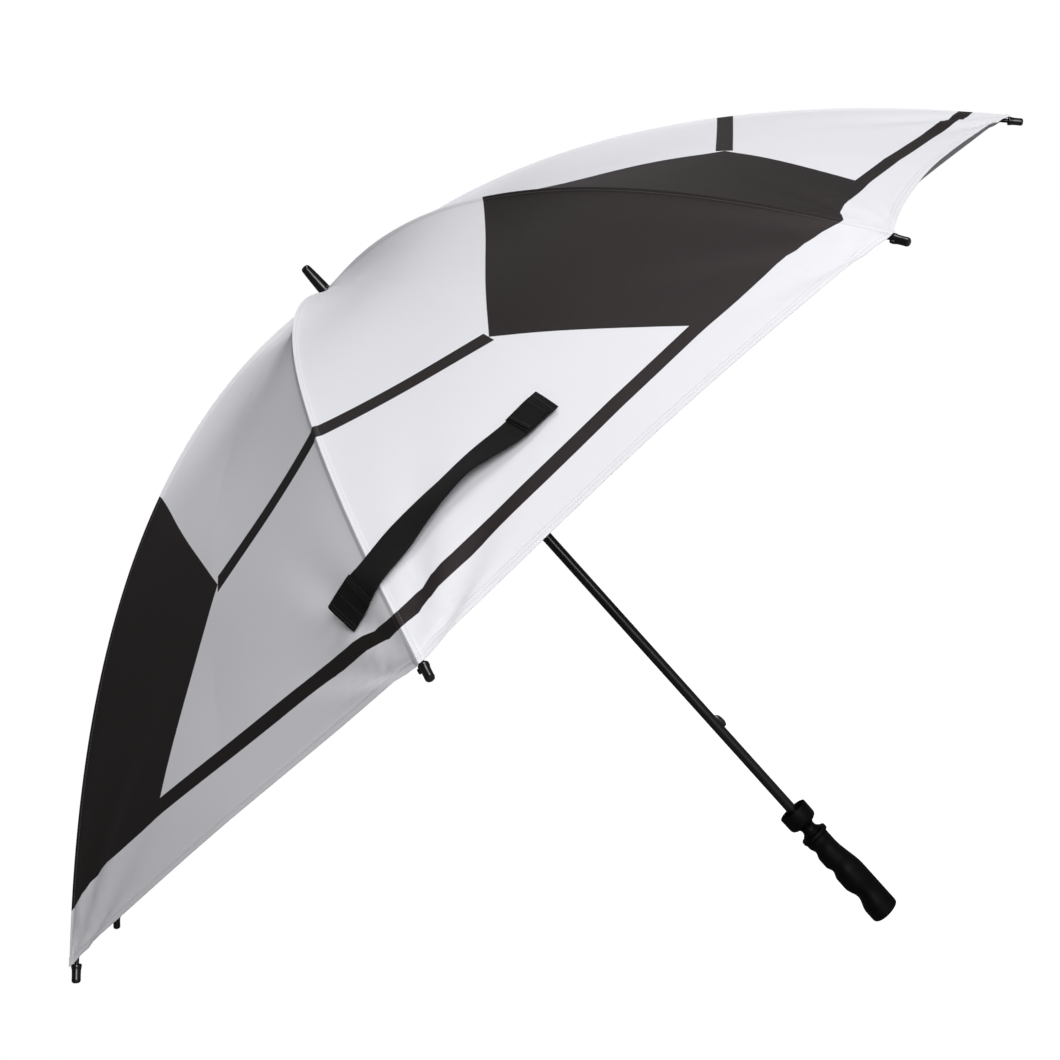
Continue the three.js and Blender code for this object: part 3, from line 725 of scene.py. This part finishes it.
def webbing_piece(name, start, end, width, thickness, lift, material, columns, rows, nodes=(),
                  ripple=0.0):
    """A length of tape along the strap, with rounded edges, hung on the strap's rib."""
    bm = bmesh.new()
    bmesh.ops.create_grid(bm, x_segments=columns, y_segments=rows, size=0.5)
    grid = np.array([v.co for v in bm.verts])
    distance = start + (end - start) * (grid[:, 1] + 0.5)
    across = grid[:, 0] * width
    cupped = -0.0007 * (2 * grid[:, 0]) ** 4 + ripple * np.sin(distance * 260) * np.cos(3 * grid[:, 0])
    points = webbing_points(distance, across, lift + cupped)
    for vert, point in zip(bm.verts, points):
        vert.co = point
    bm.normal_update()
    if next(iter(bm.faces)).normal.z < 0:
        bmesh.ops.reverse_faces(bm, faces=bm.faces)
    bmesh.ops.transform(bm, matrix=Matrix.Rotation(strap_rib * rib_step, 4, "Z"), verts=bm.verts)
    mesh = mesh_from(bm, name, [material])
    set_map(mesh, "tape", np.stack([across, distance], axis=-1))
    piece = bpy.data.objects.new(name, mesh)
    bpy.context.scene.collection.objects.link(piece)
    wall = piece.modifiers.new("wall", "SOLIDIFY")
    wall.thickness = thickness
    wall.offset = 0
    round_edge = piece.modifiers.new("edge", "BEVEL")
    round_edge.width = thickness * 0.3
    round_edge.segments = 2
    round_edge.limit_method = "ANGLE"
    settle(piece, 50)
    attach(piece, f"rib_outer_{strap_rib}")
    if nodes:
        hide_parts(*nodes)
    gather_to_rib(piece, strap_side, joint_radius, canopy_radius)
    return piece


def tape_cloth(name, colour, rib_pitch, relief, rows_sewn, fuzz=0.0):
    """Narrow woven tape with its cross ribs, selvedges and the rows of thread that hold it."""
    material, tree, shader = shader_of(name)
    tape = uv(tree, "tape")
    place = node(tree, "ShaderNodeSeparateXYZ", {0: tape}).outputs
    cross_ribs, edge_ribs = (
        calc(tree, "SINE", calc(tree, "DIVIDE", product(tree, place[way], 2 * math.pi), pitch))
        for way, pitch in (("Y", rib_pitch), ("X", rib_pitch * 1.6)))
    ribs = product(tree, calc(tree, "ADD", cross_ribs, product(tree, edge_ribs, 0.7)), relief)
    lint = node(tree, "ShaderNodeTexNoise", {"Vector": tape, "Scale": 700.0, "Detail": 5.0}).outputs["Fac"]
    height = calc(tree, "ADD", ribs, product(tree, lint, relief + fuzz))
    sewn = 0.0
    for row in rows_sewn:
        thread = placed(tree, "stitch_row", {
            "Across": place["Y"], "Along": place["X"], "Place": row, "Width": 0.0009, "Pitch": 0.0028})
        sewn = calc(tree, "MAXIMUM", sewn, thread["Thread"])
    height = calc(tree, "ADD", height, product(tree, sewn, 0.0003))
    darker, lighter = (tuple(scale * c for c in colour) + (1.0,) for scale in (0.7, 1.35))
    tone = mixed(tree, lint, darker, lighter)
    tone = mixed(tree, product(tree, sewn, 0.5), tone, (0.035, 0.035, 0.037, 1.0))
    tree.links.new(tone, shader.inputs["Base Color"])
    rough = node(tree, "ShaderNodeMapRange", {"Value": lint, "To Min": 0.62, "To Max": 0.85})
    tree.links.new(rough.outputs["Result"], shader.inputs["Roughness"])
    bump = node(tree, "ShaderNodeBump", {"Height": height, "Distance": 1.0, "Strength": 0.7})
    tree.links.new(bump.outputs["Normal"], shader.inputs["Normal"])
    shader.inputs["Specular IOR Level"].default_value = 0.18
    return material


sewn_length = 0.034
hook_length = 0.025
strap_end_turn = 0.009
webbing_black = tape_cloth("strap_webbing", (0.0050, 0.0048, 0.0047), 0.0011, 0.00009,
                           [0.004, strap_length - 0.005])
sewn_black = tape_cloth("strap_sewn_end", (0.0046, 0.0044, 0.0043), 0.0011, 0.00009,
                        [0.003, 0.006, 0.0165, 0.029, 0.0315])
hook_black = tape_cloth("hook_tape", (0.0032, 0.0031, 0.0031), 0.0016, 0.00016,
                        [strap_length - 0.0115, strap_length - 0.0315], fuzz=0.0004)
webbing_piece("closing_strap_webbing", 0.0, strap_length, strap_width, strap_thickness, 0.0, webbing_black,
              16, 130, ["closing_strap"])
webbing_piece("strap_sewn_fold", 0.0012, sewn_length, strap_width + 0.0012, 0.0012, 0.00125, sewn_black,
              16, 20)
webbing_piece("strap_end_turn", strap_length - hook_length - strap_end_turn - 0.002, strap_length - 0.0004,
              strap_width + 0.0008, 0.0010, 0.0012, webbing_black, 16, 18)
webbing_piece("hook_tape_square", strap_length - hook_length - strap_end_turn, strap_length - strap_end_turn,
              strap_width - 0.0015, 0.0012, 0.0023, hook_black, 14, 16, ["strap_hook_patch"],
              ripple=0.0001)

# ---- shaft and ferrule ----
# A black painted steel tube 12 mm across, slotted where the two catches spring out. A washer and a tapered
# glossy ferrule pressed onto its top end hold the crown of the canopy down.
shaft_low, shaft_high = (Vector(c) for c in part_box("shaft"))
shaft_radius = 0.006
shaft_wall = 0.001
catch_azimuth = rib_step / 2
catch_width = 0.0024
catch_slack = 0.00035


def cut_away(piece, cutters):
    """Cuts boxes out of a finished piece."""
    for bm in cutters:
        mesh = bpy.data.meshes.new("cutter")
        bm.to_mesh(mesh)
        bm.free()
        cutter = bpy.data.objects.new("cutter", mesh)
        bpy.context.scene.collection.objects.link(cutter)
        slot_cut = piece.modifiers.new("slot", "BOOLEAN")
        slot_cut.operation = "DIFFERENCE"
        slot_cut.object = cutter
        slot_cut.solver = "EXACT"
        cut_mesh = bpy.data.meshes.new_from_object(piece.evaluated_get(bpy.context.evaluated_depsgraph_get()))
        piece.modifiers.clear()
        piece.data = cut_mesh
        bpy.data.objects.remove(cutter)
    piece.data.shade_smooth()
    piece.data.set_sharp_from_angle(angle=math.radians(35))


shaft_black = moulding("shaft_black", (0.003, 0.003, 0.003), (0.005, 0.005, 0.005), 0.24, 0.32, 1400.0,
                       0.000004, coat=0.15, shine=0.4)
inner_radius = shaft_radius - shaft_wall
lip = 0.0003
shaft_profile = [
    (inner_radius, shaft_low.z), (shaft_radius - lip, shaft_low.z), (shaft_radius, shaft_low.z + lip),
    (shaft_radius, shaft_high.z - lip), (shaft_radius - lip, shaft_high.z), (inner_radius, shaft_high.z),
    (inner_radius, shaft_low.z),
]
shaft = fitted_piece("shaft_tube", turned(shaft_profile, 64), shaft_black, "root", ["shaft"])
slots = []
for catch in ("bottom_catch", "top_catch"):
    low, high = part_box(catch)
    bm = bmesh.new()
    box_at(bm, (0, -catch_width / 2 - catch_slack, low[2] - catch_slack),
           (shaft_radius + 0.003, catch_width / 2 + catch_slack, high[2] + catch_slack),
           Matrix.Rotation(catch_azimuth, 4, "Z"))
    slots.append(bm)
cut_away(shaft, slots)

ferrule_low, ferrule_high = (Vector(c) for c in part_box("ferrule"))
ferrule_length = ferrule_high.z - ferrule_low.z
ferrule_base, ferrule_tip = 0.0074, 0.0053
ferrule_socket = 0.0200
hub_bore = 0.0063
ferrule_profile = [
    (hub_bore, 0.0), (ferrule_base - 0.0004, 0.0), (ferrule_base, 0.0005), (ferrule_base, 0.0022),
    (ferrule_base - 0.0006, 0.0030), (ferrule_base - 0.00055, 0.0060), (0.0064, 0.0160), (0.0058, 0.0260),
    (ferrule_tip + 0.0001, ferrule_length - 0.0050), (ferrule_tip, ferrule_length - 0.0035),
    (ferrule_tip - 0.0004, ferrule_length - 0.0018), (ferrule_tip - 0.0015, ferrule_length - 0.0005),
    (ferrule_tip - 0.0030, ferrule_length), (0.0, ferrule_length), (0.0, ferrule_socket),
    (hub_bore, ferrule_socket), (hub_bore, 0.0),
]
ferrule_bm = turned([(r, z + ferrule_low.z) for r, z in ferrule_profile], 72)
fitted_piece("ferrule_cap", ferrule_bm, gloss_black, "root", ["ferrule"])

washer_low, washer_high = (Vector(c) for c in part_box("crown_washer"))
washer_rim = 0.011
washer_profile = [
    (hub_bore, washer_low.z), (washer_rim - 0.0003, washer_low.z), (washer_rim, washer_low.z + 0.0003),
    (washer_rim - 0.0004, washer_low.z + 0.0007), (washer_rim - 0.0016, washer_high.z),
    (hub_bore, washer_high.z), (hub_bore, washer_low.z),
]
fitted_piece("crown_disc", turned(washer_profile, 64), gloss_black, "root", ["crown_washer"])

# ---- catches ----
# Two spring tongues, pushed in to let the runner past. The lower one holds the umbrella shut and is a black
# moulded button; the upper one is plain bent steel and holds the canopy open.
catch_proud = 0.0048
catch_half = 0.0085
catch_root = 0.0030


def catch_tongue(middle, up):
    """The side view of a tongue, steep on one side and ramped on the other, made to the catch's width."""
    outline = [(catch_root, -catch_half), (shaft_radius, -catch_half)]
    for i in range(1, 12):
        turn = math.pi * i / 12
        lean = 0.0016 * up * math.sin(turn)
        proud = catch_proud * math.sin(turn) ** 0.8
        outline.append((shaft_radius + proud, -catch_half * math.cos(turn) + lean))
    outline += [(shaft_radius, catch_half), (catch_root, catch_half)]
    bm = bmesh.new()
    verts = [bm.verts.new((x, -catch_width / 2, middle + z)) for x, z in outline]
    face = bm.faces.new(verts)
    swept = bmesh.ops.extrude_face_region(bm, geom=[face], use_keep_orig=True)["geom"]
    far_side = [v for v in swept if isinstance(v, bmesh.types.BMVert)]
    bmesh.ops.translate(bm, vec=(0, catch_width, 0), verts=far_side)
    bmesh.ops.recalc_face_normals(bm, faces=bm.faces)
    soften(bm, 0.0004, 60, 3)
    return bm


def bare_steel(name, base):
    """Drawn steel with fine marks along its length and a slight yellow haze."""
    material, tree, shader = shader_of(name)
    place = node(tree, "ShaderNodeTexCoord").outputs["Object"]
    drawn = node(tree, "ShaderNodeMapping", {"Vector": place, "Scale": (900.0, 900.0, 30.0)})
    marks = node(tree, "ShaderNodeTexNoise", {
        "Vector": drawn.outputs["Vector"], "Scale": 1.0, "Detail": 3.0}).outputs["Fac"]
    tone = mixed(tree, marks, tuple(0.8 * c for c in base) + (1.0,), (*base, 1.0))
    tree.links.new(tone, shader.inputs["Base Color"])
    rough = node(tree, "ShaderNodeMapRange", {"Value": marks, "To Min": 0.22, "To Max": 0.42})
    tree.links.new(rough.outputs["Result"], shader.inputs["Roughness"])
    shader.inputs["Metallic"].default_value = 1.0
    return material


steel = bare_steel("catch_steel", (0.56, 0.56, 0.55))
catch_turn = Matrix.Rotation(catch_azimuth, 4, "Z")
for catch, up, material, slot in (
        ("bottom_catch", -1, gloss_black, "gloss_black"), ("top_catch", 1, steel, "catch_steel")):
    low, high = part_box(catch)
    tongue = catch_tongue((low[2] + high[2]) / 2, up)
    fitted_piece(f"{catch}_tongue", tongue, material, catch, [catch], catch_turn)

# ---- handle ----
# A matt black collar with a hollow mouth, where the rib tips gather, above a moulded grip with three finger
# grooves on one side and a palm swell on the other.
cup_low, cup_high = (Vector(c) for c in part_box("handle_cup"))
cup_radius = 0.01725
cup_floor = cup_high.z - 0.018
cup_profile = [
    (hub_bore, cup_low.z), (0.0116, cup_low.z), (0.0120, cup_low.z + 0.0006), (0.0112, cup_low.z + 0.0022),
    (0.0094, cup_low.z + 0.0038), (0.0085, cup_low.z + 0.0060), (0.0084, cup_low.z + 0.0082),
    (0.0088, cup_floor - 0.0062), (0.0100, cup_floor - 0.0044), (0.0135, cup_floor - 0.0030),
    (0.0160, cup_floor - 0.0014), (cup_radius - 0.0003, cup_floor + 0.0006), (cup_radius, cup_floor + 0.0024),
    (cup_radius + 0.0002, cup_high.z - 0.0012), (cup_radius, cup_high.z - 0.0004),
    (cup_radius - 0.0006, cup_high.z),
    (cup_radius - 0.0014, cup_high.z - 0.0002), (cup_radius - 0.0018, cup_high.z - 0.0010),
    (cup_radius - 0.0022, cup_floor + 0.0032), (cup_radius - 0.0032, cup_floor + 0.0008),
    (hub_bore + 0.0020, cup_floor), (hub_bore, cup_floor), (hub_bore, cup_low.z),
]
rubbed_dark, rubbed_light = (0.0014, 0.0014, 0.0014), (0.0024, 0.0024, 0.0025)
matte_black = moulding("matte_black", rubbed_dark, rubbed_light, 0.42, 0.56, 900.0, 0.00002, shine=0.12)
fitted_piece("handle_collar", turned(cup_profile, 80), matte_black, "root", ["handle_cup"])

grip_height = 0.123
grip_flange_radius = 0.0162
grip_shoulder = grip_height - 0.0055
grip_front_reach = 0.015
palm_reach, neck_reach = 0.0192, 0.0134
grip_socket = 0.0200
# Height, depth and reach of each finger groove.
grip_grooves = [(0.104, 0.0026, 0.009), (0.075, 0.0030, 0.010), (0.034, 0.0049, 0.018)]


def grip_front(z):
    reach = grip_front_reach
    for height, depth, spread_of in grip_grooves:
        away = abs(z - height) / spread_of
        if away < 1:
            reach -= depth * (0.5 + 0.5 * math.cos(math.pi * away))
    return reach


def grip_back(z):
    return palm_reach - (palm_reach - neck_reach) * float(smooth(z, 0.058, 0.102))


def grip_side(z):
    return 0.0155 - 0.0018 * float(smooth(z, 0.055, 0.105)) - 0.25 * (grip_front_reach - grip_front(z))


butt_round = 0.0045
grip_profile = [(0.0, 0.0)]
for i in range(7):
    turn = math.pi / 2 * i / 6
    grip_profile.append((1 - 0.30 * (1 - math.sin(turn)), butt_round * (1 - math.cos(turn))))
body_rows = 64
for i in range(1, body_rows + 1):
    grip_profile.append((1.0, butt_round + (grip_shoulder - 0.0012 - butt_round) * i / body_rows))
flange = grip_flange_radius
grip_profile += [
    (flange - 0.0010, grip_shoulder), (flange - 0.0002, grip_shoulder + 0.0004),
    (flange, grip_shoulder + 0.0012), (flange, grip_height - 0.0012),
    (flange - 0.0003, grip_height - 0.0003), (flange - 0.0012, grip_height),
    (hub_bore, grip_height), (hub_bore, grip_socket), (0.0, grip_socket),
]
grip_bm = turned(grip_profile, 96)
for vert in grip_bm.verts:
    x, y, z = vert.co
    radius = math.hypot(x, y)
    if radius > 0.5:
        to_back, to_side = x / radius, y / radius
        reach = grip_back(z) if to_back > 0 else grip_front(z)
        wanted = 1 / math.hypot(to_back / reach, to_side / grip_side(z))
        vert.co = (x * wanted, y * wanted, z)
soften(grip_bm, 0.0004, 50, 2)
grip_rubber = moulding("grip_rubber", rubbed_dark, rubbed_light, 0.46, 0.60, 1400.0, 0.00002, shine=0.14)
fitted_piece("hand_grip_moulding", grip_bm, grip_rubber, "root", ["grip"], catch_turn)

# ---- notch and runner ----
# The fixed hub at the top that the ribs hinge in, and the sliding hub that the stretchers stand in. Both are
# black nylon mouldings with a slot for each arm; the runner is split where it passes the catches.


def finer_copy(name, source, material, body, width):
    """The frame's own solid with its loose faces joined and its edges rounded."""
    bm = bmesh.new()
    bm.from_mesh(frame["nodes"][source].data)
    bmesh.ops.remove_doubles(bm, verts=bm.verts, dist=1e-6)
    bmesh.ops.dissolve_limit(bm, angle_limit=math.radians(1.0), verts=bm.verts, edges=bm.edges)
    soften(bm, width, 32, 2)
    bmesh.ops.triangulate(bm, faces=[f for f in bm.faces if len(f.verts) > 4])
    return fitted_piece(name, bm, material, body, [source], sharp_angle=40)


finer_copy("notch_hub", "notch", matte_black, "root", 0.00025)
finer_copy("runner_hub", "runner", matte_black, "runner", 0.00030)

# ---- ribs and stretchers ----
# Each rib is two black glass-fibre rods that meet in a pressed clip with a pin through it, and each stretcher
# is a rod from the clip to the runner. Flat eyes at their ends turn on pins across the rib.
joints = {joint["name"]: joint for joint in frame["joints"]}
hinge_place = Vector(joints["rib_hinge_0"]["pos_m"])
joint_place = Vector(joints["rib_flex_0"]["pos_m"])
pin_place = Vector(joints["stretcher_hinge_0"]["pos_m"])
rod_radius = 0.0021
eye_width = 0.0024
eye_radius = 0.0022
stretcher_length = 0.309
foot_radius = 0.012
foot_place = Vector((foot_radius, 0, pin_place.z - math.sqrt(
    stretcher_length ** 2 - (pin_place.x - foot_radius) ** 2)))


def rod_along(bm, points, radius, sides=14):
    """A round rod through points, made by pushing its end face along."""
    points = [Vector(p) for p in points]
    headings = [(b - a).normalized() for a, b in zip(points, points[1:])]
    headings = [headings[0]] + [(a + b).normalized() for a, b in zip(headings, headings[1:])] + [headings[-1]]
    frames = [Matrix.Translation(point) @ heading.to_track_quat("Z", "Y").to_matrix().to_4x4()
              for point, heading in zip(points, headings)]
    ring = bmesh.ops.create_circle(bm, cap_ends=True, segments=sides, radius=radius, matrix=frames[0])
    ring = ring["verts"]
    face = next(f for f in ring[0].link_faces if len(f.verts) == sides and all(v in ring for v in f.verts))
    for before, after in zip(frames, frames[1:]):
        made = bmesh.ops.extrude_face_region(bm, geom=[face])["geom"]
        face = next(f for f in made if isinstance(f, bmesh.types.BMFace))
        bmesh.ops.transform(bm, matrix=after @ before.inverted(), verts=face.verts)


def eye_at(bm, place, angle, reach, radius, half_width=eye_width / 2):
    """A flat eye round a pin, with its tongue running into the rod."""
    pin_at(bm, place, radius, half_width)
    turn = Matrix.Translation(place) @ Matrix.Rotation(angle, 4, "Y")
    box_at(bm, (0, -half_width, -radius + 0.0002), (reach, half_width, radius - 0.0002), turn)


rod_black = moulding("rib_black", (0.005, 0.005, 0.005), (0.008, 0.008, 0.008), 0.30, 0.44, 420.0, 0.00001,
                     shine=0.4)


def rib_piece(name, bm, rib_node, turn):
    """A black rod with its ends, on the body that bears its node's name."""
    fitted_piece(name, bm, rod_black, rib_node, [rib_node], turn)


inner_way = (joint_place - hinge_place).normalized()
rib_angle = math.atan2(-inner_way.z, inner_way.x)
outer_angle = math.atan(cloth_slope(joint_radius))
outer_way = Vector((math.cos(outer_angle), 0, -math.sin(outer_angle)))
stretcher_way = (foot_place - pin_place).normalized()
stretcher_angle = math.atan2(-stretcher_way.z, stretcher_way.x)
clip_turn = Matrix.Translation(joint_place) @ Matrix.Rotation(rib_angle, 4, "Y")
ear_gap = 0.0003
ear_width = 0.0013
clip_half = eye_width / 2 + ear_gap + ear_width
clip_low, clip_high = -0.0025, 0.0024
ear_radius = 0.0024
ear_drop = 0.0065
boss_radius = 0.00245
rivet_radius = 0.0011

for rib in range(rib_count):
    turn = Matrix.Rotation(rib * rib_step, 4, "Z")
    bm = bmesh.new()
    path = [hinge_place + Vector((0.0125, 0, 0))] + [under_cloth(joint_radius * i / 8) for i in range(1, 8)]
    rod_along(bm, path + [joint_place - inner_way * 0.006], rod_radius)
    eye_at(bm, hinge_place, 0.0, 0.0155, eye_radius)
    box_at(bm, (-0.011, -clip_half, clip_low), (-0.0030, clip_half, clip_high), clip_turn)
    for ear in (-1, 1):
        near, far = sorted((ear * (eye_width / 2 + ear_gap), ear * clip_half))
        box_at(bm, (-0.0062, near, clip_low), (0.0, far, clip_high), clip_turn)
        box_at(bm, (-ear_radius, near, -ear_drop), (ear_radius, far, 0.0), clip_turn)
        middle = (near + far) / 2
        for depth in (0.0, -ear_drop):
            pin_at(bm, clip_turn @ Vector((0, middle, depth)), boss_radius, (far - near) / 2)
            pin_at(bm, clip_turn @ Vector((0, ear * (clip_half + 0.0002), depth)), rivet_radius, 0.0004)
    rib_piece(f"inner_rib_{rib}", bm, f"rib_inner_{rib}", turn)

    bm = bmesh.new()
    path = [joint_place + outer_way * 0.0035]
    path += [under_cloth(joint_radius + (canopy_radius - joint_radius) * i / 12) for i in range(1, 12)]
    rod_along(bm, path + [tip_start + rim_direction * 0.011], rod_radius)
    eye_at(bm, joint_place, outer_angle, 0.0055, eye_radius)
    rib_piece(f"outer_rib_{rib}", bm, f"rib_outer_{rib}", turn)

    bm = bmesh.new()
    rod_along(bm, [pin_place + stretcher_way * 0.004, foot_place - stretcher_way * 0.006], 0.0018)
    eye_at(bm, pin_place, stretcher_angle, 0.006, 0.0020)
    eye_at(bm, foot_place, stretcher_angle + math.pi, 0.009, 0.0018)
    rib_piece(f"stretcher_rod_{rib}", bm, f"stretcher_{rib}", turn)
